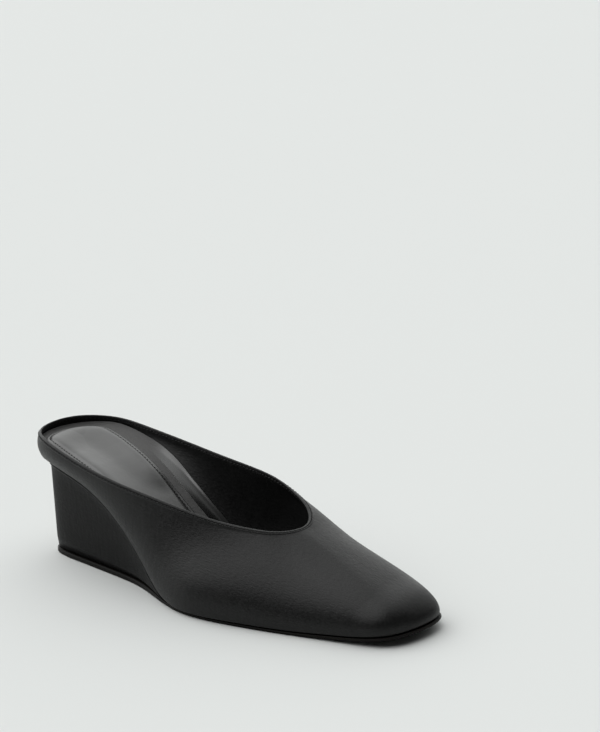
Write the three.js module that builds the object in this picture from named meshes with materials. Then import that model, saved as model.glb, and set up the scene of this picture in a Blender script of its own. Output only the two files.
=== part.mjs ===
// A right-foot wedge mule in black satin, in the pieces that a maker puts together: a thin outsole,
// a covered wedge, one hollow upper with its margin turned under, an insole board and a padded sock.
// Millimetres. +X points to the toe, +Y to the wearer's left, which is the inner side, and +Z up.
// The origin is on the floor, under the middle of the heel seat.
import * as THREE from "three";

// Driving dimensions
const LENGTH = 245; // edge of the last's bottom, heel to toe
const BALL_WIDTH = 79; // edge of the last's bottom, across the ball
const WEDGE_HEIGHT = 49.8; // top of the outsole to the upper's underside, at the heel
const RIM_HEIGHT = 13.5; // upper's underside to the topline, at the back of the heel
const THROAT_HEIGHT = 40.6; // floor to the topline, at the front of the throat
const SEAT_CENTRE = 35; // back of the last to the middle of the heel seat

const WALL = 1.5; // satin, backing and lining of the upper
const EDGE_RADIUS = 1.3; // bend where the upper turns under the last
const MARGIN = 13; // width that is turned under
const FOLD_WIDTH = 2; // turned and stitched strip along the topline
const FOLD_STEP = 0.2; // how far that strip stands out

const HEEL_SOLE = 2.6; // outsole thickness under the wedge
const FORE_SOLE = 1.5; // outsole thickness under the forefoot
const SOLE_BEVEL = 0.35; // rounding of the outsole's two edges
const TOE_SPRING = 4.7; // lift of the outsole at the toe
const WEDGE_TIP = 0.8; // thickness at which the wedge ends
const WEDGE_INSET = 0.25; // how far the wedge's foot stands back from the outsole's edge
const WEDGE_LIP = 0.7; // bead of the cloth turned over the wedge's top edge
const LIP_DEPTH = 1.9; // height of that bead

const BOARD = 2.7; // insole board under the forefoot
const HEEL_PAD = 3.8; // foam that the board carries at the heel, on top of its thickness
const BOARD_EDGE = 0.5; // how far the board's underside stands back from its edge
const CUP = 1.8; // how far the board's rim rises beside the sock, at the heel
const SOCK = 1.2; // sock leather at its border
const SOCK_PAD = 1.2; // padding inside the stitched border
const SOCK_BORDER = 2.2; // border outside the stitch line
const SOCK_INSET = 6; // edge of the last's bottom to the sock, along the outer side
const STITCH_GROOVE = 0.5; // depth of the pressed stitch line

const CLEARANCE = 0.3; // gap between neighbouring pieces

// Resolution of the meshes
const STEPS = 4; // columns between two rows of the table
const WALL_STEPS = 12; // levels up the wall of the upper

// Rows run from the back of the heel along the outer side to the toe and back along the inner side.
// footX, footY: edge of the last's bottom. soleX, soleY: edge of the outsole. topX, topY: topline. The
// x values are shares of LENGTH and the y values of BALL_WIDTH. climb: 0 at the throat's height, 1 at
// the heel rim's. lean: degrees by which the wall starts outwards. fall: degrees by which it drops
// from the topline. wall and reach: how long it holds those two directions, as shares of the way from
// foot to top. flare: how far the wedge's top reaches from the sole's edge to the foot's. sock: share
// of SOCK_INSET. cup: share of CUP by which the board rises beside the sock.
const COLUMNS = ["footX", "footY", "soleX", "soleY", "topX", "topY", "climb", "lean", "fall", "wall",
  "reach", "flare", "sock", "cup"];
const ROWS = [
  [-0.006, 0, 0.036, 0, -0.019, 0, 1, 30, 66, 0.42, 0.4, 0.1, 0.45, 1],
  [0.01, -0.203, 0.039, -0.16, 0.002, -0.19, 0.985, 30, 66, 0.42, 0.4, 0.15, 0.5, 0.9],
  [0.057, -0.293, 0.065, -0.253, 0.062, -0.31, 0.96, 28, 68, 0.4, 0.4, 0.4, 0.58, 0.7],
  [0.147, -0.356, 0.155, -0.297, 0.163, -0.377, 0.8, 26, 76, 0.38, 0.38, 0.6, 0.7, 0.5],
  [0.253, -0.392, 0.253, -0.329, 0.286, -0.415, 0.62, 22, 80, 0.36, 0.36, 0.65, 0.9, 0.3],
  [0.347, -0.424, 0.347, -0.373, 0.388, -0.403, 0.48, 18, 78, 0.36, 0.36, 0.7, 1, 0.2],
  [0.433, -0.491, 0.433, -0.468, 0.478, -0.361, 0.32, 15, 72, 0.38, 0.36, 0.8, 1, 0.1],
  [0.522, -0.562, 0.522, -0.544, 0.559, -0.289, 0.16, 12, 60, 0.4, 0.38, 1, 1, 0],
  [0.612, -0.537, 0.612, -0.524, 0.62, -0.209, 0.07, 10, 47, 0.38, 0.42, 1, 1, 0],
  [0.727, -0.448, 0.727, -0.443, 0.657, -0.137, 0.02, 8, 36, 0.32, 0.44, 1, 1, 0],
  [0.849, -0.34, 0.849, -0.337, 0.677, -0.063, 0, 7, 29, 0.22, 0.46, 1, 1, 0],
  [0.935, -0.258, 0.936, -0.256, 0.686, -0.013, 0, 6, 25, 0.18, 0.48, 1, 1, 0],
  [0.978, -0.15, 0.98, -0.15, 0.689, 0.025, 0, 5, 20, 0.16, 0.56, 1, 1.5, 0],
  [0.996, 0.045, 0.999, 0.045, 0.69, 0.063, 0, 4, 18.5, 0.14, 0.6, 1, 1.5, 0],
  [0.993, 0.215, 0.996, 0.217, 0.688, 0.108, 0.01, 5, 19.5, 0.13, 0.58, 1, 1.5, 0],
  [0.965, 0.325, 0.967, 0.328, 0.684, 0.146, 0.03, 6, 22.5, 0.135, 0.5, 1, 1.5, 0],
  [0.849, 0.4, 0.849, 0.402, 0.668, 0.215, 0.08, 7, 23.5, 0.12, 0.47, 1, 1.3, 0],
  [0.727, 0.447, 0.727, 0.443, 0.64, 0.285, 0.168, 8, 26, 0.22, 0.42, 1, 1.2, 0.3],
  [0.612, 0.432, 0.612, 0.424, 0.597, 0.342, 0.28, 10, 38, 0.33, 0.42, 1, 1.4, 0.8],
  [0.522, 0.376, 0.522, 0.367, 0.535, 0.385, 0.43, 34, 64, 0.38, 0.38, 1, 1.55, 1.4],
  [0.433, 0.313, 0.433, 0.3, 0.455, 0.406, 0.52, 44, 76, 0.36, 0.36, 0.8, 1.6, 1.9],
  [0.347, 0.271, 0.347, 0.248, 0.365, 0.41, 0.603, 50, 82, 0.36, 0.36, 0.7, 1.6, 2.1],
  [0.253, 0.276, 0.253, 0.24, 0.27, 0.402, 0.728, 50, 82, 0.36, 0.36, 0.65, 1.45, 2.0],
  [0.147, 0.318, 0.155, 0.257, 0.15, 0.388, 0.88, 44, 78, 0.38, 0.38, 0.6, 1.25, 1.6],
  [0.057, 0.325, 0.065, 0.258, 0.06, 0.352, 0.968, 34, 70, 0.4, 0.4, 0.4, 1.1, 1.2],
  [0.01, 0.2, 0.039, 0.16, 0.0, 0.2, 1.01, 30, 66, 0.42, 0.4, 0.15, 0.75, 1.05],
];

// Heights along the shoe, x as a share of LENGTH. arch: share of WEDGE_HEIGHT under the upper.
// spring: share of TOE_SPRING under the outsole. heel: 1 where the outsole is at its heel thickness.
// pad: share of HEEL_PAD on the board.
const ARCH = [[0, 1], [0.045, 1], [0.11, 0.973], [0.184, 0.908], [0.249, 0.784], [0.31, 0.588],
  [0.343, 0.453], [0.377, 0.31], [0.413, 0.16], [0.443, 0.062], [0.473, 0.018], [0.52, 0], [1, 0]];
const SPRING = [[0, 0], [0.74, 0], [0.87, 0.32], [0.95, 0.7], [1, 1]];
const HEEL_SHARE = [[0, 1], [0.36, 1], [0.5, 0], [1, 0]];
const PAD = [[0, 1], [0.06, 0.97], [0.1, 0.78], [0.17, 0.42], [0.24, 0.24], [0.32, 0], [1, 0]];

/** Returns a curve through [x, value] rows that never overshoots them. */
function steadyCurve(rows) {
  const secant = rows.slice(1).map(([x, v], i) => (v - rows[i][1]) / (x - rows[i][0]));
  const slope = rows.map((_, i) => {
    const [a, b] = [secant[i - 1], secant[i]];
    return a * b > 0 ? (2 * a * b) / (a + b) : 0;
  });
  return (x) => {
    const at = THREE.MathUtils.clamp(x, rows[0][0], rows.at(-1)[0]);
    const i = Math.max(0, rows.findIndex(([end]) => at <= end) - 1);
    const width = rows[i + 1][0] - rows[i][0];
    const t = (at - rows[i][0]) / width;
    return hermite(t, rows[i][1], rows[i + 1][1], slope[i] * width, slope[i + 1] * width);
  };
}

/** Cubic from a to b as t goes from 0 to 1, with the given slopes at its ends. */
function hermite(t, a, b, slopeA, slopeB) {
  const rest = 1 - t;
  const between = a * rest * rest * (1 + 2 * t) + b * t * t * (3 - 2 * t);
  return between + slopeA * t * rest * rest - slopeB * t * t * rest;
}

/** Slopes that make a closed cubic curve through values bend evenly at every knot. */
function closedSlopes(gaps, values) {
  const n = values.length;
  const slopes = new Array(n).fill(0);
  const sweeps = 60; // enough for the corrections to die out
  for (let sweep = 0; sweep < sweeps; sweep++) {
    for (let i = 0; i < n; i++) {
      const [before, after] = [(i + n - 1) % n, (i + 1) % n];
      const [g, h] = [gaps[before], gaps[i]];
      const pull = 3 * ((h * (values[i] - values[before])) / g + (g * (values[after] - values[i])) / h);
      slopes[i] = (pull - h * slopes[before] - g * slopes[after]) / (2 * (g + h));
    }
  }
  return slopes;
}

/** Returns read(u) for a closed table of numbers, where u counts rows and may lie between two. */
function closedTable(gaps, values) {
  const n = values.length;
  const slopes = closedSlopes(gaps, values);
  return (u) => {
    const i = Math.floor(u) % n;
    const j = (i + 1) % n;
    return hermite(u - Math.floor(u), values[i], values[j], slopes[i] * gaps[i], slopes[j] * gaps[i]);
  };
}

// Reads every column of the table between its rows, in real sizes
const [along, across] = [LENGTH, BALL_WIDTH];
const UNITS = { footX: along, soleX: along, topX: along, footY: across, soleY: across, topY: across };
const columnOf = (name) => ROWS.map((row) => row[COLUMNS.indexOf(name)] * (UNITS[name] ?? 1));
const [edgeX, edgeY] = [columnOf("footX"), columnOf("footY")];
const gaps = edgeX.map((x, i) => {
  const next = (i + 1) % edgeX.length;
  return Math.sqrt(Math.hypot(edgeX[next] - x, edgeY[next] - edgeY[i]));
});
const read = Object.fromEntries(COLUMNS.map((name) => [name, closedTable(gaps, columnOf(name))]));

const arch = steadyCurve(ARCH);
const spring = steadyCurve(SPRING);
const heelShare = steadyCurve(HEEL_SHARE);
const pad = steadyCurve(PAD);
const treadHeight = (x) => TOE_SPRING * spring(x / LENGTH);
const soleTop = (x) => treadHeight(x) + FORE_SOLE + (HEEL_SOLE - FORE_SOLE) * heelShare(x / LENGTH);
const wedgeHeight = (x) => WEDGE_HEIGHT * arch(x / LENGTH);
const footHeight = (x) => soleTop(x) + CLEARANCE + wedgeHeight(x);

/** Height function of a surface that lies a distance above another one, measured square to it. */
function above(height, distance) {
  const nearby = 0.5; // millimetres
  const slope = (x) => (height(x + nearby) - height(x - nearby)) / (2 * nearby);
  return (x) => height(x) + distance(x) * Math.hypot(1, slope(x));
}

const COUNT = ROWS.length * STEPS;
const HEEL_CENTRE = 0.1 * LENGTH; // the plan outlines shrink towards this point at the heel
const TOE_CENTRE = 0.9 * LENGTH; // and towards this one at the toe

/** Plan point of an outline ("foot", "sole" or "top") at column j. */
const planPoint = (outline, j) => {
  const u = (((j % COUNT) + COUNT) % COUNT) / STEPS;
  return new THREE.Vector2(read[outline + "X"](u), read[outline + "Y"](u));
};

/** Unit plan direction that leaves an outline outwards at column j. */
function outward(outline, j) {
  const nearby = 0.05; // share of a column
  const along = planPoint(outline, j + nearby).sub(planPoint(outline, j - nearby));
  return new THREE.Vector2(along.y, -along.x).normalize();
}

/** Point of an outline at column j, moved inwards so that it lies a distance from the edge's line. */
function inset(outline, j, distance) {
  const edge = planPoint(outline, j);
  const other = planPoint(outline, COUNT - j);
  const centreX = THREE.MathUtils.clamp(edge.x, HEEL_CENTRE, TOE_CENTRE);
  const inwards = new THREE.Vector2(centreX, (edge.y + other.y) / 2).sub(edge).normalize();
  return edge.addScaledVector(inwards, distance / Math.max(0.7, -inwards.dot(outward(outline, j))));
}

/** Closed ring of points, one per column; place(j) gives each. */
const ring = (place, columns = [...Array(COUNT).keys()]) => columns.map(place);

/** Ring at an outline's inset, with its height as a function of x. */
const level = (outline, distance, height, columns) =>
  ring((j) => {
    const p = inset(outline, j, distance);
    return new THREE.Vector3(p.x, p.y, height(p.x));
  }, columns);

/** Geometry from points and faces that are lists of three or four indices. */
function geometryOf(points, faces) {
  const index = faces.flatMap(([a, b, c, d]) => (d === undefined ? [a, b, c] : [a, b, c, a, c, d]));
  const geometry = new THREE.BufferGeometry().setFromPoints(points);
  geometry.setIndex(index);
  geometry.computeVertexNormals();
  return geometry;
}

/** Faces between rings i and i + 1 of a stack whose rings hold n points. */
function bandFaces(lower, upper, n) {
  return [...Array(n).keys()].map((j) => {
    const next = (j + 1) % n;
    return [lower + j, lower + next, upper + next, upper + j];
  });
}

/** Faces that fill a ring from side to side: a rung joins each point to the one across from it. */
function rungFaces(start, n) {
  const faces = [[start, start + 1, start + n - 1]];
  for (let k = 1; k + 1 < n - k - 1; k++) {
    faces.push([start + k, start + k + 1, start + n - k - 1, start + n - k]);
  }
  if (n % 2 === 0) faces.push([start + n / 2 - 1, start + n / 2, start + n / 2 + 1]);
  return faces;
}

/** Solid whose rings go from the edge of its underside, up its side, to the edge of its top. */
function stack(rings) {
  const n = rings[0].length;
  const sides = rings.slice(1).flatMap((_, i) => bandFaces(i * n, (i + 1) * n, n));
  const under = rungFaces(0, n).map((face) => face.toReversed());
  return geometryOf(rings.flat(), [...under, ...sides, ...rungFaces((rings.length - 1) * n, n)]);
}

/** Solid whose rings close on themselves, like the skin of a hollow band. */
function hollowBand(rings) {
  const n = rings[0].length;
  const faces = rings.flatMap((_, i) => bandFaces(i * n, ((i + 1) % rings.length) * n, n));
  return geometryOf(rings.flat(), faces);
}

/** Outside of the upper at column j, from the turned margin's edge to the topline, without its fold. */
function upperProfile(j) {
  const u = (((j % COUNT) + COUNT) % COUNT) / STEPS;
  const foot = planPoint("foot", j);
  const out = outward("foot", j);
  const place = (p, z) => new THREE.Vector3(p.x, p.y, z);
  const under = [1, 0.55, 0.1].map((share) => {
    const p = inset("foot", j, EDGE_RADIUS + share * (MARGIN - EDGE_RADIUS));
    return place(p, footHeight(p.x));
  });
  const lean = THREE.MathUtils.degToRad(read.lean(u));
  const bendCentre = foot.clone().addScaledVector(out, -EDGE_RADIUS);
  const bend = [0.3, 0.65, 1].map((share) => {
    const angle = share * (Math.PI / 2 - lean);
    const p = bendCentre.clone().addScaledVector(out, EDGE_RADIUS * Math.sin(angle));
    return place(p, footHeight(p.x) + EDGE_RADIUS * (1 - Math.cos(angle)));
  });
  const start = bend.at(-1);
  const topPlan = planPoint("top", j);
  const rimTop = footHeight(0) + RIM_HEIGHT;
  const end = place(topPlan, THROAT_HEIGHT + (rimTop - THROAT_HEIGHT) * read.climb(u));
  const span = start.distanceTo(end);
  const fall = THREE.MathUtils.degToRad(read.fall(u));
  const topOut = outward("top", j);
  const rise = span * read.wall(u);
  const reach = span * read.reach(u);
  const rising = new THREE.Vector3(out.x * Math.sin(lean), out.y * Math.sin(lean), Math.cos(lean));
  const falling = new THREE.Vector3(topOut.x * Math.cos(fall), topOut.y * Math.cos(fall), -Math.sin(fall));
  const first = start.clone().addScaledVector(rising, rise);
  const second = end.clone().addScaledVector(falling, reach);
  const curve = new THREE.CubicBezierCurve3(start, first, second, end);
  const foldAt = 1 - FOLD_WIDTH / (3 * reach);
  const wall = [...Array(WALL_STEPS).keys()].map((k) => curve.getPoint((foldAt * (k + 1)) / WALL_STEPS));
  return [...under, ...bend, ...wall, end];
}

/** Unit normals of a grid of points, grid[column][level], facing out of the shoe. */
function gridNormals(grid) {
  return grid.map((column, j) =>
    column.map((_, k) => {
      const along = grid[(j + 1) % grid.length][k].clone().sub(grid.at(j - 1)[k]);
      const up = column[Math.min(k + 1, column.length - 1)].clone().sub(column[Math.max(k - 1, 0)]);
      return along.cross(up).normalize();
    }),
  );
}

const MARGIN_LEVELS = 3; // levels of the upper's grid on the turned margin
const BEND_LEVELS = 3; // levels round the bend
const upperGrid = [...Array(COUNT).keys()].map(upperProfile);
const upperNormals = gridNormals(upperGrid);

/** Ring of the upper's grid at level k, moved out of the wall by a distance. */
const moved = (k, distance) =>
  upperGrid.map((column, j) => column[k].clone().addScaledVector(upperNormals[j][k], distance));

/** The upper: one wall from the topline down, turned under the last, with a turned strip at its top. */
function upperGeometry() {
  const levels = upperGrid[0].length;
  const outside = [...Array(levels - 1).keys()].map((k) => moved(k, 0));
  const strip = [moved(levels - 2, FOLD_STEP), moved(levels - 1, FOLD_STEP)];
  const stripStart = strip[0].map((p, j) => p.lerp(strip[1][j], 0.12));
  const crest = upperGrid.map((column, j) => {
    const edge = column.at(-1);
    const rise = edge.clone().sub(column.at(-2)).setLength((WALL + FOLD_STEP) / 2);
    return edge.clone().addScaledVector(upperNormals[j].at(-1), (FOLD_STEP - WALL) / 2).add(rise);
  });
  const lowest = MARGIN_LEVELS + BEND_LEVELS;
  const wallLevels = [...Array(levels).keys()].filter((k) => k >= lowest && k !== levels - 2);
  const lining = wallLevels.reverse().map((k) => moved(k, -WALL));
  const marginTop = above(footHeight, () => WALL);
  const corner = level("foot", WALL + CLEARANCE / 2, marginTop);
  const margin = level("foot", MARGIN, marginTop);
  return hollowBand([...outside, stripStart, strip[1], crest, ...lining, corner, margin]);
}

/** Point at column j, a distance inside the lining, where its height is a given function of x. */
function besideLining(j, distance, height) {
  const first = MARGIN_LEVELS + BEND_LEVELS - 1;
  const outside = upperGrid[j].slice(first);
  const normals = upperNormals[j].slice(first);
  const lining = outside.map((p, k) => p.clone().addScaledVector(normals[k], -WALL - distance));
  const over = lining.map((p) => p.z - height(p.x));
  const k = Math.max(1, over.findIndex((room) => room > 0));
  const share = over[k - 1] / (over[k - 1] - over[k]);
  return lining[k - 1].clone().lerp(lining[k], THREE.MathUtils.clamp(share, 0, 1));
}

/** The outsole: follows its own outline, flat on the floor up to the ball and lifted at the toe. */
function outsoleGeometry() {
  return stack([
    level("sole", SOLE_BEVEL, treadHeight),
    level("sole", 0, (x) => treadHeight(x) + SOLE_BEVEL),
    level("sole", 0, (x) => soleTop(x) - SOLE_BEVEL),
    level("sole", SOLE_BEVEL, soleTop),
  ]);
}

/** Columns from the heel to where the wedge is only WEDGE_TIP thick, on both sides. */
function wedgeColumns() {
  const half = COUNT / 2;
  const thickness = (j) => {
    const x = Math.max(planPoint("foot", j).x, planPoint("foot", COUNT - j).x);
    return wedgeHeight(x) - CLEARANCE;
  };
  const last = [...Array(half).keys()].filter((j) => thickness(j) > WEDGE_TIP).at(-1);
  return [...Array(COUNT).keys()].filter((j) => j <= last || j >= COUNT - last);
}

/** The wedge: from the outsole up to the upper's underside, wider at its top, with a beaded top edge. */
function wedgeGeometry() {
  const columns = wedgeColumns();
  const bottom = above(soleTop, () => CLEARANCE);
  const top = above(footHeight, () => -CLEARANCE);
  const at = (share, out, drop) =>
    ring((j) => {
      const u = (((j % COUNT) + COUNT) % COUNT) / STEPS;
      const low = inset("sole", j, WEDGE_INSET);
      const high = inset("sole", j, WEDGE_INSET).lerp(inset("foot", j, EDGE_RADIUS), read.flare(u));
      const p = low.lerp(high, share).addScaledVector(outward("sole", j), out);
      const room = top(p.x) - bottom(p.x);
      return new THREE.Vector3(p.x, p.y, bottom(p.x) + (room - Math.min(drop, room / 3)) * share);
    }, columns);
  return stack([
    at(0, 0, 0),
    at(0.5, 0, 0),
    at(1, 0, LIP_DEPTH + WEDGE_LIP),
    at(1, WEDGE_LIP, LIP_DEPTH),
    at(1, WEDGE_LIP, WEDGE_LIP),
    at(1, -WEDGE_LIP, 0),
  ]);
}

const boardUnder = above(footHeight, () => WALL + CLEARANCE);
const boardTop = above(footHeight, (x) => WALL + CLEARANCE + BOARD + HEEL_PAD * pad(x / LENGTH));

/** The insole board: closes the upper's bottom, carries the heel's foam and cups round the sock. */
function boardGeometry() {
  const rowAt = (j) => (j % COUNT) / STEPS;
  const rimAt = (drop, back) =>
    ring((j) => {
      const height = (x) => boardTop(x) + CUP * read.cup(rowAt(j)) - drop;
      const edge = besideLining(j, CLEARANCE * 1.3, height);
      const p = new THREE.Vector2(edge.x, edge.y).addScaledVector(outward("foot", j), -back);
      return new THREE.Vector3(p.x, p.y, height(p.x));
    });
  const rim = rimAt(0, BOARD_EDGE);
  const fillet = [0.85, 0.6, 0].map((share) =>
    ring((j) => {
      const start = inset("foot", j, SOCK_INSET * read.sock(rowAt(j)) - SOCK);
      const p = new THREE.Vector2(rim[j].x, rim[j].y).sub(start).multiplyScalar(share).add(start);
      const rise = CUP * read.cup(rowAt(j)) * (1 - Math.sqrt(1 - share * share));
      return new THREE.Vector3(p.x, p.y, boardTop(p.x) + rise);
    }),
  );
  const underside = level("foot", WALL + CLEARANCE + BOARD_EDGE, boardUnder);
  return stack([underside, rimAt(BOARD_EDGE, 0), rim, ...fillet]);
}

/** The sock: thin at its border, pressed down along the stitch line and padded inside it. */
function sockGeometry() {
  const at = (further, height) =>
    ring((j) => {
      const u = (((j % COUNT) + COUNT) % COUNT) / STEPS;
      const p = inset("foot", j, SOCK_INSET * read.sock(u) + further);
      return new THREE.Vector3(p.x, p.y, above(boardTop, () => CLEARANCE + height)(p.x));
    });
  return stack([
    at(0, 0),
    at(0, SOCK * 0.6),
    at(SOCK * 0.4, SOCK),
    at(SOCK_BORDER - SOCK / 2, SOCK),
    at(SOCK_BORDER, SOCK - STITCH_GROOVE),
    at(SOCK_BORDER + SOCK * 0.6, SOCK + SOCK_PAD * 0.5),
    at(SOCK_BORDER + SOCK * 2.5, SOCK + SOCK_PAD),
  ]);
}

const satin = { color: 0x1b1b1c, roughness: 0.45, metalness: 0 };
const leather = { color: 0x242423, roughness: 0.35, metalness: 0 };
const PIECES = [
  { name: "outsole", geometry: outsoleGeometry, finish: { color: 0x2a2523, roughness: 0.5, metalness: 0 } },
  { name: "wedge", geometry: wedgeGeometry, finish: satin },
  { name: "upper", geometry: upperGeometry, finish: satin },
  { name: "insole", geometry: boardGeometry, finish: { color: 0x1d1c1c, roughness: 0.9, metalness: 0 } },
  { name: "sock", geometry: sockGeometry, finish: leather },
];

const shoe = new THREE.Group();
for (const { name, geometry, finish } of PIECES) {
  const mesh = new THREE.Mesh(geometry(), new THREE.MeshStandardMaterial(finish));
  mesh.name = name;
  shoe.add(mesh);
}
shoe.position.x = -SEAT_CENTRE;

export default shoe;
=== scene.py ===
"""Looks of a right-foot wedge mule in black satin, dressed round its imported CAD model.

Lengths are in metres, in the model's frame: +X to the toe, +Y to the wearer's left, +Z up from the floor.
"""

import logging
import math
from collections.abc import Sequence
from dataclasses import dataclass, field
from enum import Enum

import bmesh
import bpy
from mathutils import Matrix, Vector
from mathutils.bvhtree import BVHTree
from mathutils.kdtree import KDTree


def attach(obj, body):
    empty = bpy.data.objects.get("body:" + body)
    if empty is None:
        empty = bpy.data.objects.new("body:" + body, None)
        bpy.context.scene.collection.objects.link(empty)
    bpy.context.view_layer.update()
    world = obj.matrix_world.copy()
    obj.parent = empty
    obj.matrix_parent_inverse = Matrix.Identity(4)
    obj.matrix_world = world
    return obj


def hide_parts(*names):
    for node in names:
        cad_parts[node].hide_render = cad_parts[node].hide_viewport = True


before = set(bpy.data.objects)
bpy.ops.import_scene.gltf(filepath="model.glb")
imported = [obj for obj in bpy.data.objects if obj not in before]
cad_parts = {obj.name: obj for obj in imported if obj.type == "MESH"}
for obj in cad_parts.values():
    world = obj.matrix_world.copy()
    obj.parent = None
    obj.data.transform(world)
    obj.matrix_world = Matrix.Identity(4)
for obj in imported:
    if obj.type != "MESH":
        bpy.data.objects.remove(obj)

LOG = logging.getLogger("mule")
MM = 0.001
NOISE_ROUGHNESS = 0.55
SKY_COLOUR = (0.985, 1.0, 0.99, 1.0)
BODY = "root"


class Operation(Enum):
    """What a Math node works out."""

    ADD = "ADD"
    SUBTRACT = "SUBTRACT"
    MULTIPLY = "MULTIPLY"
    DIVIDE = "DIVIDE"
    ABSOLUTE = "ABSOLUTE"
    SINE = "SINE"
    MINIMUM = "MINIMUM"


class Signal:
    """A number that varies over a surface. Arithmetic on it adds Math nodes."""

    def __init__(self, paint: "Paint", socket: bpy.types.NodeSocket) -> None:
        """Wraps a socket of a material under construction."""
        self.paint = paint
        self.socket = socket

    def math(self, operation: Operation, *terms: "Signal | float", clamp: bool = False) -> "Signal":
        """Adds one Math node.

        Args:
            operation: The node's operation.
            terms: What goes into its sockets, in order.
            clamp: Whether the result is kept from 0 to 1.

        Returns:
            The node's result.
        """
        settings = {"operation": operation.value, "use_clamp": clamp}
        node = self.paint.node("ShaderNodeMath", settings, dict(enumerate(terms)))
        return Signal(self.paint, node.outputs[0])

    def __add__(self, other: "Signal | float") -> "Signal":
        """Sum."""
        return self.math(Operation.ADD, self, other)

    def __radd__(self, other: float) -> "Signal":
        """Sum with a number on the left."""
        return self.math(Operation.ADD, other, self)

    def __sub__(self, other: "Signal | float") -> "Signal":
        """Difference."""
        return self.math(Operation.SUBTRACT, self, other)

    def __rsub__(self, other: float) -> "Signal":
        """Difference from a number."""
        return self.math(Operation.SUBTRACT, other, self)

    def __mul__(self, other: "Signal | float") -> "Signal":
        """Product."""
        return self.math(Operation.MULTIPLY, self, other)

    def __rmul__(self, other: float) -> "Signal":
        """Product with a number on the left."""
        return self.math(Operation.MULTIPLY, other, self)

    def __truediv__(self, other: "Signal | float") -> "Signal":
        """Quotient."""
        return self.math(Operation.DIVIDE, self, other)

    def size(self) -> "Signal":
        """Absolute value."""
        return self.math(Operation.ABSOLUTE, self)

    def sine(self) -> "Signal":
        """Sine of the value in radians."""
        return self.math(Operation.SINE, self)

    def step(self, start: float, end: float) -> "Signal":
        """Rises smoothly from 0 at start to 1 at end; start may be the larger."""
        node = self.paint.node(
            "ShaderNodeMapRange",
            {"interpolation_type": "SMOOTHSTEP", "clamp": True},
            {"Value": self, "From Min": start, "From Max": end, "To Min": 0.0, "To Max": 1.0},
        )
        return Signal(self.paint, node.outputs["Result"])

    def line(self, centre: float, half_width: float) -> "Signal":
        """1 on a line where the value is centre, falling to 0 at half_width to either side."""
        flat_share = 0.4
        return (self - centre).size().step(half_width, half_width * flat_share)


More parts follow.
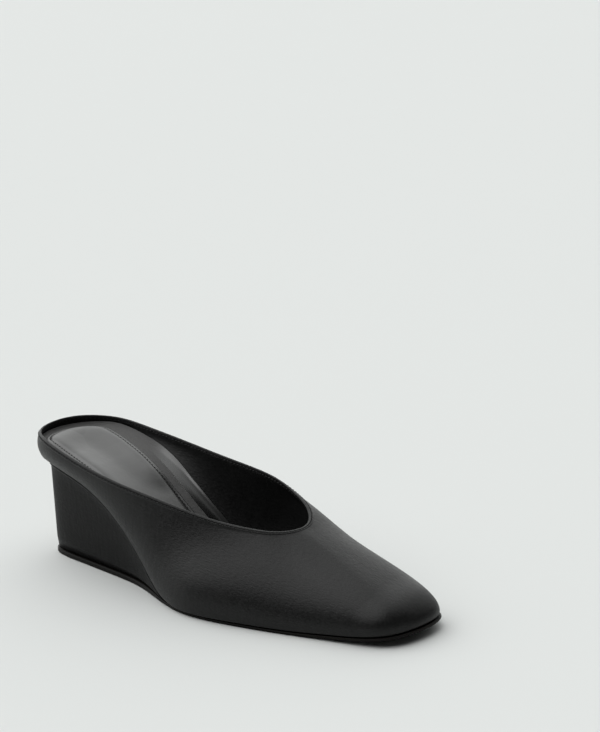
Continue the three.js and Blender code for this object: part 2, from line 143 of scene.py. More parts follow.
class Paint:
    """A node material under construction."""

    def __init__(self, name: str) -> None:
        """Makes an empty material."""
        self.material = bpy.data.materials.new(name)
        self.material.use_nodes = True
        self.tree = self.material.node_tree
        self.tree.nodes.clear()

    def node(
        self,
        kind: str,
        settings: dict[str, object] | None = None,
        inputs: dict[str | int, object] | None = None,
    ) -> bpy.types.Node:
        """Adds a node.

        Args:
            kind: Type of the node.
            settings: Its properties, set before the sockets.
            inputs: Values or links of its sockets, by name or place.

        Returns:
            The new node.
        """
        made = self.tree.nodes.new(kind)
        for key, value in (settings or {}).items():
            setattr(made, key, value)
        for key, value in (inputs or {}).items():
            target = made.inputs[key]
            if isinstance(value, Signal):
                self.tree.links.new(value.socket, target)
            elif isinstance(value, bpy.types.NodeSocket):
                self.tree.links.new(value, target)
            else:
                target.default_value = value
        return made

    def place(self, stretch: tuple[float, float, float] = (1.0, 1.0, 1.0)) -> bpy.types.NodeSocket:
        """Object coordinates, stretched."""
        coordinates = self.node("ShaderNodeTexCoord").outputs["Object"]
        mapping = self.node("ShaderNodeMapping", None, {"Vector": coordinates, "Scale": stretch})
        return mapping.outputs["Vector"]

    def noise(
        self, grain: float, detail: float = 2.0, stretch: tuple[float, float, float] = (1.0, 1.0, 1.0)
    ) -> Signal:
        """Soft noise from 0 to 1.

        Args:
            grain: Size of its spots in metres.
            detail: Octaves that are added.
            stretch: Factors on the coordinates; a small one draws the spots out.

        Returns:
            The noise.
        """
        node = self.node(
            "ShaderNodeTexNoise",
            {"noise_dimensions": "3D"},
            {
                "Vector": self.place(stretch),
                "Scale": 1.0 / grain,
                "Detail": detail,
                "Roughness": NOISE_ROUGHNESS,
            },
        )
        return Signal(self, node.outputs[0])

    def attribute(self, name: str) -> Signal:
        """A number stored on the mesh."""
        node = self.node("ShaderNodeAttribute", {"attribute_name": name, "attribute_type": "GEOMETRY"})
        return Signal(self, node.outputs["Fac"])

    def axis(self, letter: str) -> Signal:
        """One of the object's coordinates, in metres."""
        parts = self.node("ShaderNodeSeparateXYZ", None, {"Vector": self.place()})
        return Signal(self, parts.outputs[letter])

    def dot(self, direction: Vector, offset: float) -> Signal:
        """The object's coordinates along a direction, plus an offset."""
        node = self.node(
            "ShaderNodeVectorMath", {"operation": "DOT_PRODUCT"}, {0: self.place(), 1: tuple(direction)}
        )
        return Signal(self, node.outputs["Value"]) + offset

    def distance(self, share: Signal, start: Vector, end: Vector) -> Signal:
        """Distance to the point that lies a share of the way from start to end."""
        target = self.node(
            "ShaderNodeMix", {"data_type": "VECTOR"}, {"Factor": share, 4: tuple(start), 5: tuple(end)}
        ).outputs[1]
        node = self.node("ShaderNodeVectorMath", {"operation": "DISTANCE"}, {0: self.place(), 1: target})
        return Signal(self, node.outputs["Value"])

    def blend(self, share: Signal, first: object, second: object) -> bpy.types.NodeSocket:
        """Colour between two colours, by a share from 0 to 1."""
        node = self.node(
            "ShaderNodeMix",
            {"data_type": "RGBA", "clamp_factor": True},
            {"Factor": share, 6: first, 7: second},
        )
        return node.outputs[2]

    def finish(
        self,
        colour: object,
        roughness: object,
        bumps: Sequence[tuple[Signal, float]],
        fixed: dict[str, float],
    ) -> bpy.types.Material:
        """Ends the material with its shader.

        Args:
            colour: Base colour, or a socket with it.
            roughness: Roughness, or a signal with it.
            bumps: Heights from 0 to 1 with the metres they stand for.
            fixed: Further sockets of the shader, the same all over.

        Returns:
            The material.
        """
        inputs: dict[str | int, object] = {"Base Color": colour, "Roughness": roughness}
        inputs.update(fixed)
        relief = None
        for height, depth in bumps:
            term = height * depth
            relief = term if relief is None else relief + term
        if relief is not None:
            bump = self.node("ShaderNodeBump", None, {"Height": relief, "Strength": 1.0, "Distance": 1.0})
            inputs["Normal"] = bump.outputs["Normal"]
        shader = self.node("ShaderNodeBsdfPrincipled", None, inputs)
        self.node("ShaderNodeOutputMaterial", None, {"Surface": shader.outputs["BSDF"]})
        return self.material


def grey(level: float, warmth: float = 0.0) -> tuple[float, float, float, float]:
    """A grey in linear light, a little warmer or cooler."""
    return (level * (1 + warmth), level, level * (1 - warmth), 1.0)


@dataclass(frozen=True)
class Fold:
    """A soft ridge placed along a line of points, given in millimetres."""

    points: tuple[tuple[float, float, float], ...]
    width: float
    height: float

    def signal(self, paint: Paint) -> Signal:
        """1 along the fold's line, falling softly to 0 at its width beside it."""
        nearest = None
        for first, last in zip(self.points, self.points[1:]):
            start, end = Vector(first) * MM, Vector(last) * MM
            line = end - start
            share = paint.dot(line / line.length_squared, -start.dot(line) / line.length_squared)
            away = paint.distance(share.math(Operation.MULTIPLY, share, 1.0, clamp=True), start, end)
            nearest = away if nearest is None else nearest.math(Operation.MINIMUM, nearest, away)
        return nearest.step(self.width, 0.0)


@dataclass(frozen=True)
class Satin:
    """Black satin: fine floats of thread that lie one way, with a soft gloss."""

    name: str = "black_satin"
    level: float = 0.008
    gloss: float = 0.25
    roughness: float = 0.42
    thread: float = 0.8 * MM
    relief: float = 0.11 * MM
    cloud: float = 22 * MM
    seam: str = ""
    seam_depth: float = 2.1 * MM
    seam_width: float = 0.45 * MM
    seam_sunk: float = 0.25 * MM
    folds: tuple[Fold, ...] = ()

    def material(self) -> bpy.types.Material:
        """Builds the material."""
        paint = Paint(self.name)
        floats = paint.noise(self.thread, 1.0, (0.35, 1.0, 1.0))
        slubs = paint.noise(self.thread * 3, 1.0, (1.0, 1.0, 0.2))
        clouds = paint.noise(self.cloud, 2.0)
        tone = (floats - 0.5) * 0.9 + (slubs - 0.5) * 0.5 + (clouds - 0.5) * 0.35 + 0.5
        colour = paint.blend(tone, grey(self.level * 0.3), grey(self.level * 1.7))
        roughness = (floats - 0.5) * 0.24 + (clouds - 0.5) * 0.08 + self.roughness
        bumps = [(floats, self.relief), (slubs, self.relief * 0.8)]
        bumps.extend((fold.signal(paint), fold.height) for fold in self.folds)
        # Darkens and sinks a line at a set distance along an attribute; on the wedge, beside the upper, this
        # dark line is painted shade.
        if self.seam:
            dark_line = paint.attribute(self.seam).line(self.seam_depth, self.seam_width)
            colour = paint.blend(dark_line, colour, grey(self.level * 0.2))
            roughness = dark_line * 0.4 + roughness
            bumps.append((dark_line, -self.seam_sunk))
        return paint.finish(colour, roughness, bumps, {"Specular IOR Level": self.gloss})


@dataclass(frozen=True)
class Leather:
    """Smooth black leather with fine pores and faint waves; beyond a seam it is a turned satin edge."""

    name: str = "lining_leather"
    level: float = 0.004
    gloss: float = 1.0
    roughness: float = 0.22
    pore: float = 0.55 * MM
    relief: float = 0.03 * MM
    ripple: float = 6 * MM
    ripple_height: float = 0.12 * MM
    wave: float = 30 * MM
    wave_height: float = 0.3 * MM
    seam: str = ""
    seam_depth: float = 2.1 * MM
    seam_width: float = 0.45 * MM
    seam_sunk: float = 0.2 * MM
    edge_raised: float = 0.15 * MM
    edge_blend: float = 0.2 * MM
    edge_level: float = 0.014
    line_level: float = 0.001
    folds: tuple[Fold, ...] = ()

    def material(self) -> bpy.types.Material:
        """Builds the material."""
        paint = Paint(self.name)
        pores = paint.noise(self.pore, 1.0)
        ripples = paint.noise(self.ripple, 2.0)
        waves = paint.noise(self.wave, 2.0)
        tone = ripples * 0.5 + waves * 0.5
        colour = paint.blend(tone, grey(self.level * 0.7), grey(self.level * 1.35, 0.02))
        roughness = (ripples - 0.5) * 0.1 + (waves - 0.5) * 0.1 + self.roughness
        bumps = [(pores, self.relief), (ripples, self.ripple_height), (waves, self.wave_height)]
        bumps.extend((fold.signal(paint), fold.height) for fold in self.folds)
        if self.seam:
            depth = paint.attribute(self.seam)
            dark_line = depth.line(self.seam_depth, self.seam_width)
            turned = depth.step(self.seam_depth, self.seam_depth - self.edge_blend)
            colour = paint.blend(turned, colour, grey(self.edge_level))
            colour = paint.blend(dark_line, colour, grey(self.line_level))
            roughness = turned * 0.2 + dark_line * 0.4 + roughness
            bumps.extend([(dark_line, -self.seam_sunk), (turned, self.edge_raised)])
        return paint.finish(colour, roughness, bumps, {"Specular IOR Level": self.gloss})


@dataclass(frozen=True)
class Cloth:
    """Matt black cloth beside the sock; ahead of the heel, glossy lining lies beyond its strip."""

    name: str = "board_cloth"
    level: float = 0.06
    yarn: float = 0.5 * MM
    fuzz: float = 0.8 * MM
    roughness: float = 0.8
    strip: float = 6.4 * MM
    strip_edge: float = 0.15 * MM
    beside: str = "beside"
    lining_start: tuple[float, float] = (8 * MM, 26 * MM)
    lining_level: float = 0.004
    lining_gloss: float = 1.0
    lining_roughness: float = 0.24
    lining_raised: float = 0.35 * MM

    def material(self) -> bpy.types.Material:
        """Builds the material."""
        paint = Paint(self.name)
        warp = (paint.axis("X") * (2 * math.pi / self.yarn)).sine()
        weft = (paint.axis("Y") * (2 * math.pi / self.yarn)).sine()
        fuzz = paint.noise(self.fuzz, 2.0)
        tone = fuzz * 0.7 + warp * weft * 0.12 + 0.15
        distance = paint.attribute(self.beside)
        lining = distance.step(self.strip - self.strip_edge, self.strip + self.strip_edge)
        lining = lining * paint.axis("X").step(*self.lining_start)
        weave = 1.0 - lining
        cloth = paint.blend(tone, grey(self.level * 0.6), grey(self.level * 1.4, 0.02))
        return paint.finish(
            paint.blend(lining, cloth, grey(self.lining_level)),
            weave * ((fuzz - 0.5) * 0.1 + (self.roughness - self.lining_roughness)) + self.lining_roughness,
            [(warp * weft * weave, 0.02 * MM), (fuzz * weave, 0.04 * MM), (lining, self.lining_raised)],
            {"Specular IOR Level": self.lining_gloss},
        )


@dataclass(frozen=True)
class Rubber:
    """Moulded outsole: dull brownish black, finely ribbed underneath."""

    name: str = "outsole_rubber"
    level: float = 0.005
    gloss: float = 0.12
    roughness: float = 0.5
    rib: float = 2.4 * MM
    rib_height: float = 0.12 * MM
    underside: tuple[float, float] = (0.9 * MM, 0.3 * MM)

    def material(self) -> bpy.types.Material:
        """Builds the material."""
        paint = Paint(self.name)
        speck = paint.noise(0.7 * MM, 2.0)
        wide = paint.noise(12 * MM, 2.0)
        under = paint.axis("Z").step(*self.underside)
        ribs = (paint.axis("X") * (2 * math.pi / self.rib)).sine() * under
        tone = speck * 0.6 + wide * 0.4
        colour = paint.blend(tone, grey(self.level * 0.7, 0.1), grey(self.level * 1.3, 0.14))
        roughness = (speck - 0.5) * 0.16 + (wide - 0.5) * 0.1 + self.roughness
        bumps = [(speck, 0.03 * MM), (ribs, self.rib_height)]
        return paint.finish(colour, roughness, bumps, {"Specular IOR Level": self.gloss})


@dataclass(frozen=True)
class Thread:
    """Twisted sewing thread."""

    name: str = "thread"
    level: float = 0.02
    gloss: float = 0.2
    roughness: float = 0.6
    twist: float = 0.35 * MM

    def material(self) -> bpy.types.Material:
        """Builds the material."""
        paint = Paint(self.name)
        slant = paint.axis("X") + paint.axis("Y") + paint.axis("Z")
        tone = (slant * (2 * math.pi / self.twist)).sine() * 0.3 + 0.5
        colour = paint.blend(tone, grey(self.level * 0.6), grey(self.level * 1.5))
        return paint.finish(colour, self.roughness, [(tone, 0.03 * MM)], {"Specular IOR Level": self.gloss})


@dataclass(frozen=True)
class Paper:
    """Seamless studio paper for the floor."""

    name: str = "studio_paper"
    colour: tuple[float, float, float, float] = (0.715, 0.729, 0.721, 1.0)
    darker: float = 0.995
    mottle: float = 300 * MM
    gloss: float = 0.1
    roughness: float = 0.9

    def material(self) -> bpy.types.Material:
        """Builds the material."""
        paint = Paint(self.name)
        mottle = paint.noise(self.mottle, 2.0)
        deep = tuple(channel * self.darker for channel in self.colour[:3]) + (1.0,)
        colour = paint.blend(mottle, deep, self.colour)
        return paint.finish(colour, self.roughness, [], {"Specular IOR Level": self.gloss})


TOE_SHOULDER = Fold(
    (
        (194.0, 29.0, 13.0),
        (196.0, 22.4, 17.2),
        (198.2, 1.0, 19.0),
        (199.0, -10.0, 16.2),
        (196.0, -18.5, 10.5),
    ),
    12 * MM,
    1.0 * MM,
)
WAIST_FOLDS = (
    Fold(((30.0, 26.0, 47.0), (46.0, 26.5, 35.5), (62.0, 26.5, 22.0)), 8 * MM, 1.2 * MM),
    Fold(((52.0, 31.0, 44.0), (66.0, 31.5, 32.0), (78.0, 32.0, 20.0)), 6 * MM, 0.8 * MM),
)
BACK_SEAM = Fold(((-38.8, 7.7, 56.0), (-37.8, 7.7, 68.0)), 0.6 * MM, -0.4 * MM)
SOCK_CUP = Fold(
    ((-26.0, -18.0, 62.0), (-31.0, 0.0, 62.5), (-27.0, 13.0, 62.5), (0.0, 17.0, 58.0), (25.0, 15.0, 50.0)),
    24 * MM,
    3.2 * MM,
)
# The wedge's dark line, 0.3 mm from the upper, is painted shade: the shadow in the gap under the upper's
# lower edge.
WEDGE_SATIN = Satin("wedge_satin", 0.0045, 0.1, 0.45, seam="beside", seam_depth=0.3 * MM)


def new_object(name: str, mesh: bpy.types.Mesh, materials: Sequence[bpy.types.Material]) -> bpy.types.Object:
    """Puts a finished mesh in the scene.

    Args:
        name: Name of the piece.
        mesh: Its mesh, in the model's frame.
        materials: Its materials, in slot order.

    Returns:
        The new object.
    """
    piece = bpy.data.objects.new(name, mesh)
    bpy.context.scene.collection.objects.link(piece)
    for material in materials:
        mesh.materials.append(material)
    return piece


def cad_copy(node: str) -> bmesh.types.BMesh:
    """A merged copy of a CAD node's mesh."""
    bm = bmesh.new()
    bm.from_mesh(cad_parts[node].data)
    bmesh.ops.remove_doubles(bm, verts=bm.verts[:], dist=0.001 * MM)
    return bm


def to_mesh(bm: bmesh.types.BMesh, name: str) -> bpy.types.Mesh:
    """Ends an edit and returns its mesh, shaded smooth."""
    for face in bm.faces:
        face.smooth = True
    mesh = bpy.data.meshes.new(name)
    bm.to_mesh(mesh)
    bm.free()
    return mesh


def subdivide(piece: bpy.types.Object, levels: int) -> None:
    """Gives a piece a subdivision surface."""
    modifier = piece.modifiers.new("smoothing", "SUBSURF")
    modifier.levels = levels
    modifier.render_levels = levels


def crease_layer(bm: bmesh.types.BMesh) -> bmesh.types.BMLayerItem:
    """The layer that keeps edges sharp under a subdivision surface."""
    return bm.edges.layers.float.get("crease_edge") or bm.edges.layers.float.new("crease_edge")


class WallLattice:
    """Columns and rings of the upper's wall, read from its loose triangles.

    The wall is a ring of columns, and each column is a closed loop: down the outside, under the
    foot and up the lining. Every quad of that net comes as two triangles.
    """

    def __init__(self, bm: bmesh.types.BMesh) -> None:
        """Finds the net's three families of edges and drops the diagonal one."""
        self.bm = bm
        steps = self._edge_steps()
        lengths = {step: 0.0 for step in ((1, 0), (0, 1), (1, 1))}
        for edge, step in steps.items():
            lengths[step] += edge.calc_length()
        diagonal = max(lengths, key=lambda step: lengths[step])
        kept = {edge: step for edge, step in steps.items() if step != diagonal}
        bmesh.ops.dissolve_edges(bm, edges=[edge for edge, step in steps.items() if step == diagonal])
        self.family = {edge: step for edge, step in kept.items() if edge.is_valid}
        self.rings = self._rings()

    def _edge_steps(self) -> dict[bmesh.types.BMEdge, tuple[int, int]]:
        """Steps in the net that each edge stands for; two neighbouring triangles are a parallelogram."""
        self.bm.faces.ensure_lookup_table()
        start = self.bm.faces[0]
        labels = {start: dict(zip(start.verts, ((0, 0), (1, 0), (1, 1))))}
        queue = [start]
        steps: dict[bmesh.types.BMEdge, tuple[int, int]] = {}
        while queue:
            face = queue.pop()
            here = labels[face]
            for edge in face.edges:
                a, b = edge.verts
                step = (here[b][0] - here[a][0], here[b][1] - here[a][1])
                steps[edge] = max(step, (-step[0], -step[1]))
                other = next(linked for linked in edge.link_faces if linked != face)
                if other in labels:
                    continue
                far = next(v for v in face.verts if v not in edge.verts)
                new = next(v for v in other.verts if v not in edge.verts)
                corner = tuple(here[a][i] + here[b][i] - here[far][i] for i in (0, 1))
                labels[other] = {a: here[a], b: here[b], new: corner}
                queue.append(other)
        return steps

    def _walk(self, start: bmesh.types.BMVert, step: tuple[int, int]) -> list[bmesh.types.BMVert]:
        """Vertices of the closed loop through start along one family of edges."""
        loop = [start]
        before, vert = None, start
        while True:
            ways = [edge.other_vert(vert) for edge in vert.link_edges if self.family[edge] == step]
            ahead = next(v for v in ways if v != before)
            if ahead == start:
                return loop
            loop.append(ahead)
            before, vert = vert, ahead

    def _rings(self) -> list[list[bmesh.types.BMVert]]:
        """Rings from the topline's crest down the outside and on round, each from the heel's back."""
        first = next(iter(self.bm.verts))
        ways = sorted(set(self.family.values()), key=lambda step: len(self._walk(first, step)))
        across, along = ways[0], ways[-1]
        column = self._walk(first, across)
        rings = [self._walk(vert, along) for vert in column]
        heights = [sum(v.co.z for v in ring) / len(ring) for ring in rings]
        crest = heights.index(max(heights))
        rings = rings[crest:] + rings[:crest]
        spread = [sum(v.co.xy.length for v in ring) / len(ring) for ring in (rings[1], rings[-1])]
        if spread[0] < spread[1]:
            rings = [rings[0]] + rings[:0:-1]
        back = min(rings[0], key=lambda v: v.co.x)
        column = self._walk(back, across)
        if column[1] not in rings[1]:
            column = [column[0]] + column[:0:-1]
        turned = []
        for ring, vert in zip(rings, column):
            start = ring.index(vert)
            ring = ring[start:] + ring[:start]
            if ring[len(ring) // 4].co.y > ring[-len(ring) // 4].co.y:
                ring = [ring[0]] + ring[:0:-1]
            turned.append(ring)
        return turned


@dataclass
class StitchRow:
    """A row of stitches laid along a path."""

    pitch: float = 2.3 * MM
    length: float = 1.7 * MM
    thickness: float = 0.36 * MM
    sunk: float = 0.55

    def build(
        self, name: str, path: Sequence[tuple[Vector, Vector]], closed: bool, material: bpy.types.Material
    ) -> bpy.types.Object:
        """Makes the stitches as one piece.

        Args:
            name: Name of the piece.
            path: Points with the surface's normal at each.
            closed: Whether the path comes back to its start.
            material: The thread.

        Returns:
            The new object.
        """
        bm = bmesh.new()
        for place, normal, along in spaced(path, self.pitch, closed):
            side = normal.cross(along).normalized()
            turn = Matrix((along, side, side.cross(along) * -1)).transposed()
            lift = normal * self.thickness * (0.5 - self.sunk)
            size = Matrix.Diagonal((self.length / 2, self.thickness / 2, self.thickness / 2, 1))
            matrix = Matrix.Translation(place + lift) @ turn.to_4x4() @ size
            lying = matrix @ Matrix.Rotation(math.pi / 2, 4, "Y")
            bmesh.ops.create_uvsphere(bm, u_segments=8, v_segments=5, radius=1.0, matrix=lying)
        bmesh.ops.recalc_face_normals(bm, faces=bm.faces[:])
        return new_object(name, to_mesh(bm, name), [material])


def spaced(
    path: Sequence[tuple[Vector, Vector]], pitch: float, closed: bool
) -> list[tuple[Vector, Vector, Vector]]:
    """Places at even steps along a smooth curve through the path's points.

    Args:
        path: Points with the surface's normal at each.
        pitch: Distance wanted between two places.
        closed: Whether the path comes back to its start.

    Returns:
        Each place with its normal and its direction along the path.
    """
    fine: list[tuple[Vector, Vector]] = []
    count = len(path)
    pieces = 8
    for i in range(count if closed else count - 1):
        if closed:
            a, b, c, d = (path[(i + k) % count] for k in (-1, 0, 1, 2))
        else:
            a, b, c, d = (path[min(max(i + k, 0), count - 1)] for k in (-1, 0, 1, 2))
        for k in range(pieces):
            t = k / pieces
            point = 0.5 * (
                2 * b[0]
                + (c[0] - a[0]) * t
                + (2 * a[0] - 5 * b[0] + 4 * c[0] - d[0]) * t * t
                + (3 * b[0] - a[0] - 3 * c[0] + d[0]) * t**3
            )
            fine.append((point, b[1].lerp(c[1], t)))
    fine.append(path[0] if closed else path[-1])
    total = sum((fine[i + 1][0] - fine[i][0]).length for i in range(len(fine) - 1))
    number = max(1, round(total / pitch))
    places = []
    travelled, want = 0.0, total / number / 2
    for (p, n), (q, m) in zip(fine, fine[1:]):
        length = (q - p).length
        while want <= travelled + length and len(places) < number:
            t = (want - travelled) / length
            places.append((p.lerp(q, t), n.lerp(m, t).normalized(), (q - p).normalized()))
            want += total / number
        travelled += length
    return places


@dataclass
class Upper:
    """The hollow satin upper with its leather lining, its turned topline and their seams."""

    edge_crease: float = 0.75
    stitch_inset: float = 0.35
    sharp_rings: tuple[int, ...] = (2, 3)
    seam_rings: int = 5
    satin: Satin = field(default_factory=lambda: Satin(seam="depth", folds=(TOE_SHOULDER,)))
    lining: Leather = field(default_factory=lambda: Leather(seam="depth", folds=(*WAIST_FOLDS, BACK_SEAM)))
    thread: Thread = field(default_factory=lambda: Thread("topline_thread", 0.03))
    rows: StitchRow = field(default_factory=StitchRow)

    def build(self) -> list[bpy.types.Object]:
        """Builds the wall and its stitches."""
        bm = cad_copy("upper")
        crease = crease_layer(bm)
        depth = bm.verts.layers.float.new("depth")
        rings = WallLattice(bm).rings
        LOG.info("upper wall: %d rings of %d columns", len(rings), len(rings[0]))
        bm.normal_update()
        under = self._lowest_outside(rings)
        lining_rings = set()
        for index, ring in enumerate(rings):
            if index > under or index == 0:
                lining_rings.update(ring)
        for ring in (rings[index] for index in self.sharp_rings):
            members = set(ring)
            for vert in ring:
                for edge in vert.link_edges:
                    if edge.other_vert(vert) in members:
                        edge[crease] = self.edge_crease
        for column in zip(*rings):
            self._measure_depth(column, range(1, under + 1), depth)
            self._measure_depth(column, range(-1, -1 - self.seam_rings, -1), depth)
        for face in bm.faces:
            face.material_index = 1 if all(v in lining_rings for v in face.verts) else 0
        fold = self._path(rings, 1, 2, self.stitch_inset)
        inner = self._below_inside(rings)
        mesh = to_mesh(bm, "upper_wall")
        wall = new_object("upper_wall", mesh, [self.satin.material(), self.lining.material()])
        subdivide(wall, 2)
        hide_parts("upper")
        pieces = [wall]
        for name, path in (("topline_stitches", fold), ("inner_stitches", inner)):
            stitches = self.rows.build(name, path, True, self.thread.material())
            pieces.append(stitches)
        return pieces

    @staticmethod
    def _measure_depth(
        column: Sequence[bmesh.types.BMVert], way: Sequence[int], layer: bmesh.types.BMLayerItem
    ) -> None:
        """Stores the distance travelled from the topline's crest along one way down a column."""
        travelled = 0.0
        before = column[0]
        for index in way:
            travelled += (column[index].co - before.co).length
            column[index][layer] = travelled
            before = column[index]

    @staticmethod
    def _lowest_outside(rings: list[list[bmesh.types.BMVert]]) -> int:
        """Index of the last ring on the outside, where the margin ends under the foot."""
        first_low = 10
        inset = [sum(v.co.xy.length for v in ring) / len(ring) for ring in rings]
        return inset.index(min(inset[first_low:]))

    @staticmethod
    def _path(
        rings: list[list[bmesh.types.BMVert]], upper: int, lower: int, share: float
    ) -> list[tuple[Vector, Vector]]:
        """Points between two rings, with the wall's outward normals."""
        count = len(rings[0])
        path = []
        for j in range(count):
            top, bottom = rings[upper][j].co, rings[lower][j].co
            ahead, behind = rings[lower][(j + 1) % count].co, rings[lower][j - 1].co
            normal = (ahead - behind).cross(top - bottom).normalized()
            path.append((bottom.lerp(top, share), normal))
        return path

    def _below_inside(self, rings: list[list[bmesh.types.BMVert]]) -> list[tuple[Vector, Vector]]:
        """Points on the lining at the seam's depth under the topline, with the normals there."""
        path = []
        for crest, top, bottom in zip(rings[0], rings[-1], rings[-2]):
            down = (bottom.co - top.co).normalized()
            left = self.lining.seam_depth - (crest.co - top.co).length
            path.append((top.co + down * left, bottom.normal.copy()))
        return path


@dataclass
class Sock:
    """The padded sock leather with its rolled border and its sewn groove."""

    dish: float = 1.2 * MM
    dish_width: float = 15 * MM
    dish_front: tuple[float, float] = (30 * MM, 75 * MM)
    dish_front_loss: float = 0.6
    dish_back: tuple[float, float] = (-24 * MM, -8 * MM)
    border: float = 3 * MM
    cuts: int = 7
    longest_step: float = 8 * MM
    leather: Leather = field(
        default_factory=lambda: Leather(
            "sock_leather", 0.02, 0.95, 0.31, 0.5 * MM, 0.02 * MM, folds=(SOCK_CUP,)
        )
    )
    thread: Thread = field(default_factory=lambda: Thread("sock_thread", 0.001))
    rows: StitchRow = field(default_factory=lambda: StitchRow(2.3 * MM, 1.4 * MM, 0.6 * MM, 0.05))

    def build(self) -> list[bpy.types.Object]:
        """Builds the pad and its stitches."""
        bm = cad_copy("sock")
        bmesh.ops.join_triangles(
            bm, faces=bm.faces[:], angle_face_threshold=math.pi, angle_shape_threshold=math.pi
        )
        bm.normal_update()
        groove = concave_loop(bm)
        self._hollow(bm, [place for place, _ in groove])
        mesh = to_mesh(bm, "sock_pad")
        pad = new_object("sock_pad", mesh, [self.leather.material()])
        subdivide(pad, 2)
        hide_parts("sock")
        stitches = self.rows.build("sock_stitches", groove, True, self.thread.material())
        return [pad, stitches]

    def _hollow(self, bm: bmesh.types.BMesh, groove: Sequence[Vector]) -> None:
        """Cuts the top into a grid and sinks it softly inside its groove, most under the heel."""
        rungs = [e for e in bm.edges if e.calc_length() > self.longest_step]
        top = [e for e in rungs if sum(f.normal.z for f in e.link_faces) > 0]
        LOG.info("sock: %d rungs cut", len(top))
        bmesh.ops.subdivide_edges(bm, edges=top, cuts=self.cuts, use_grid_fill=True)
        bm.normal_update()
        outline = KDTree(len(groove))
        for index, place in enumerate(groove):
            outline.insert(Vector((place.x, place.y, 0)), index)
        outline.balance()
        for vert in bm.verts:
            if vert.normal.z < 0.5:
                continue
            distance = outline.find(Vector((vert.co.x, vert.co.y, 0)))[2]
            if distance < self.border:
                continue
            inward = math.sin(min(1.0, (distance - self.border) / self.dish_width) * math.pi / 2)
            ahead = risen(vert.co.x, *self.dish_front)
            behind = risen(vert.co.x, *self.dish_back)
            vert.co.z -= self.dish * inward * (1 - self.dish_front_loss * ahead) * behind


def risen(value: float, start: float, end: float) -> float:
    """Share of the way from start to end, kept from 0 to 1."""
    return min(1.0, max(0.0, (value - start) / (end - start)))


def concave_loop(bm: bmesh.types.BMesh) -> list[tuple[Vector, Vector]]:
    """The closed line of sharp inner corners round a piece, with the normals there."""
    sharp = 0.8
    edges = [e for e in bm.edges if e.is_manifold and e.calc_face_angle_signed() < -sharp]
    neighbours: dict[bmesh.types.BMVert, list[bmesh.types.BMVert]] = {}
    for edge in edges:
        for a, b in (edge.verts, reversed(edge.verts)):
            neighbours.setdefault(a, []).append(b)
    start = min(neighbours, key=lambda v: v.co.x)
    loop = [start]
    before, vert = None, start
    while True:
        ahead = next((v for v in neighbours[vert] if v != before and v not in loop[1:]), None)
        if ahead is None or ahead == start:
            break
        loop.append(ahead)
        before, vert = vert, ahead
    LOG.info("groove: %d corners", len(loop))
    return [(v.co.copy(), Vector((0, 0, 1)).lerp(v.normal, 0.5).normalized()) for v in loop]


@dataclass
class PlainPiece:
    """A CAD solid that keeps its shape and gets smooth sides and its finish."""

    node: str
    name: str
    slot: str
    finish: Satin | Cloth | Rubber
    levels: int = 2
    sharp: float = math.radians(38)
    crease: float = 0.8
    beside: str = ""

    def build(self) -> list[bpy.types.Object]:
        """Builds the piece."""
        bm = cad_copy(self.node)
        if self.beside:
            self._measure(bm)
        bmesh.ops.join_triangles(
            bm, faces=bm.faces[:], angle_face_threshold=math.pi, angle_shape_threshold=math.pi
        )
        crease = crease_layer(bm)
        for edge in bm.edges:
            if edge.is_manifold and edge.calc_face_angle() > self.sharp:
                edge[crease] = self.crease
        piece = new_object(self.name, to_mesh(bm, self.name), [self.finish.material()])
        subdivide(piece, self.levels)
        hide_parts(self.node)
        return [piece]

    def _measure(self, bm: bmesh.types.BMesh) -> None:
        """Stores each point's distance from a neighbouring node."""
        layer = bm.verts.layers.float.new("beside")
        neighbour = cad_copy(self.beside)
        tree = BVHTree.FromBMesh(neighbour)
        for vert in bm.verts:
            vert[layer] = tree.find_nearest(vert.co)[3]
        neighbour.free()


class Sky(Paint):
    """The world's background under construction."""

    def __init__(self, name: str) -> None:
        """Makes an empty background."""
        world = bpy.data.worlds.new(name)
        bpy.context.scene.world = world
        world.use_nodes = True
        self.tree = world.node_tree
        self.tree.nodes.clear()

    def brighten(self, direction: Vector, reach: tuple[float, float], dark: float, bright: float) -> None:
        """Makes the sky brightest towards a direction.

        Args:
            direction: Unit direction of the bright side.
            reach: Cosines from that direction at which the sky is dark and bright.
            dark: Strength of the dark side.
            bright: Strength of the bright side.
        """
        where = self.node("ShaderNodeTexCoord").outputs["Generated"]
        facing = self.node("ShaderNodeVectorMath", {"operation": "DOT_PRODUCT"}, {0: where, 1: direction})
        spread = self.node(
            "ShaderNodeMapRange",
            {"interpolation_type": "SMOOTHSTEP"},
            {
                "Value": facing.outputs["Value"],
                "From Min": reach[0],
                "From Max": reach[1],
                "To Min": dark,
                "To Max": bright,
            },
        )
        background = self.node(
            "ShaderNodeBackground", None, {"Color": SKY_COLOUR, "Strength": spread.outputs["Result"]}
        )
        self.node("ShaderNodeOutputWorld", None, {"Surface": background.outputs[0]})


@dataclass(frozen=True)
class SoftBox:
    """A light far away that looks like a disc of even brightness."""

    name: str
    direction: tuple[float, float, float]
    strength: float
    angle: float

    def build(self) -> bpy.types.Object:
        """Makes the light."""
        data = bpy.data.lights.new(self.name, "SUN")
        data.energy = self.strength
        data.angle = math.radians(self.angle)
        light = bpy.data.objects.new(self.name, data)
        light.rotation_mode = "QUATERNION"
        light.rotation_quaternion = Vector(self.direction).to_track_quat("Z", "Y")
        bpy.context.scene.collection.objects.link(light)
        return light


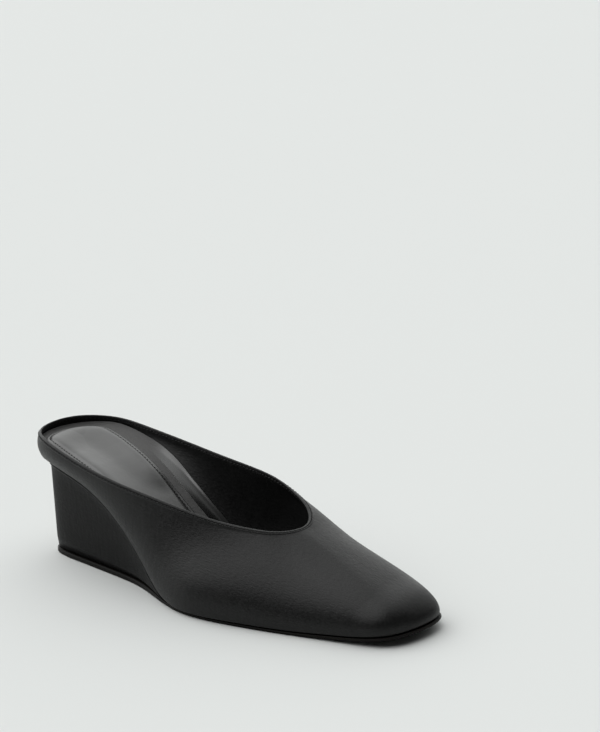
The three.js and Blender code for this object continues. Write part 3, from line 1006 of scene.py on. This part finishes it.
@dataclass
class Studio:
    """The photograph's camera, soft lights and a pale floor."""

    azimuth: float = 40.19
    elevation: float = 15.46
    roll: float = -1.50
    distance: float = 1000.9 * MM
    focal_pixels: float = 1947.6
    image_height: int = 732
    target: tuple[float, float, float] = (90 * MM, 0.0, 25 * MM)
    shift_right: float = 35.08 * MM
    shift_up: float = 89.82 * MM
    floor_size: float = 24.0
    floor_drop: float = 0.1 * MM
    boxes: tuple[SoftBox, ...] = (
        SoftBox("wide_box", (-0.42, -0.35, 0.84), 0.95, 70.0),
        SoftBox("small_box", (0.22, -0.43, 0.85), 0.14, 16.0),
    )
    sky_bright: float = 1.42
    sky_dark: float = 0.05
    sky_direction: tuple[float, float, float] = (-0.7, 0.35, 0.62)
    sky_reach: tuple[float, float] = (0.06, 0.78)

    def camera(self) -> bpy.types.Object:
        """Makes the camera at the photograph's angle."""
        a, e, turn = (math.radians(v) for v in (self.azimuth, self.elevation, self.roll))
        back = Vector((math.sin(a) * math.cos(e), -math.cos(a) * math.cos(e), math.sin(e)))
        level = Vector((math.cos(a), math.sin(a), 0))
        up = level.cross(-back)
        right = level * math.cos(turn) + up * math.sin(turn)
        above = up * math.cos(turn) - level * math.sin(turn)
        place = Vector(self.target) + back * self.distance + right * self.shift_right + above * self.shift_up
        data = bpy.data.cameras.new("camera")
        data.sensor_width = 36.0
        data.lens = self.focal_pixels * data.sensor_width / self.image_height
        data.clip_start, data.clip_end = 0.05, 60.0
        camera = bpy.data.objects.new("camera", data)
        camera.matrix_world = Matrix.Translation(place) @ Matrix((right, above, back)).transposed().to_4x4()
        bpy.context.scene.collection.objects.link(camera)
        bpy.context.scene.camera = camera
        return camera

    def lights(self) -> None:
        """Makes the soft boxes and the bright sky behind the shoe, darker to the right."""
        for box in self.boxes:
            box.build()
        direction = Vector(self.sky_direction).normalized()
        Sky("studio").brighten(direction, self.sky_reach, self.sky_dark, self.sky_bright)
        bpy.context.scene.view_settings.view_transform = "Standard"

    def floor(self) -> bpy.types.Object:
        """Makes the floor just under the sole."""
        bm = bmesh.new()
        level = Matrix.Translation((0, 0, -self.floor_drop))
        bmesh.ops.create_grid(bm, x_segments=4, y_segments=4, size=self.floor_size / 2, matrix=level)
        floor = new_object("floor", to_mesh(bm, "floor"), [Paper().material()])
        return floor


def main() -> None:
    """Builds the scene piece by piece."""
    logging.basicConfig(level=logging.INFO, format="%(name)s: %(message)s")
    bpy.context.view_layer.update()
    studio = Studio()
    studio.camera()
    studio.lights()
    studio.floor()
    assemblies = [
        PlainPiece("outsole", "outsole_edge", "outsole", Rubber()),
        PlainPiece("wedge", "wedge_cover", "wedge_satin", WEDGE_SATIN, beside="upper"),
        Upper(),
        PlainPiece("insole", "insole_cover", "insole_cloth", Cloth(), beside="sock"),
        Sock(),
    ]
    for assembly in assemblies:
        for piece in assembly.build():
            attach(piece, BODY)
            LOG.info("%s: %d faces before smoothing", piece.name, len(piece.data.polygons))


if __name__ == "__main__":
    main()
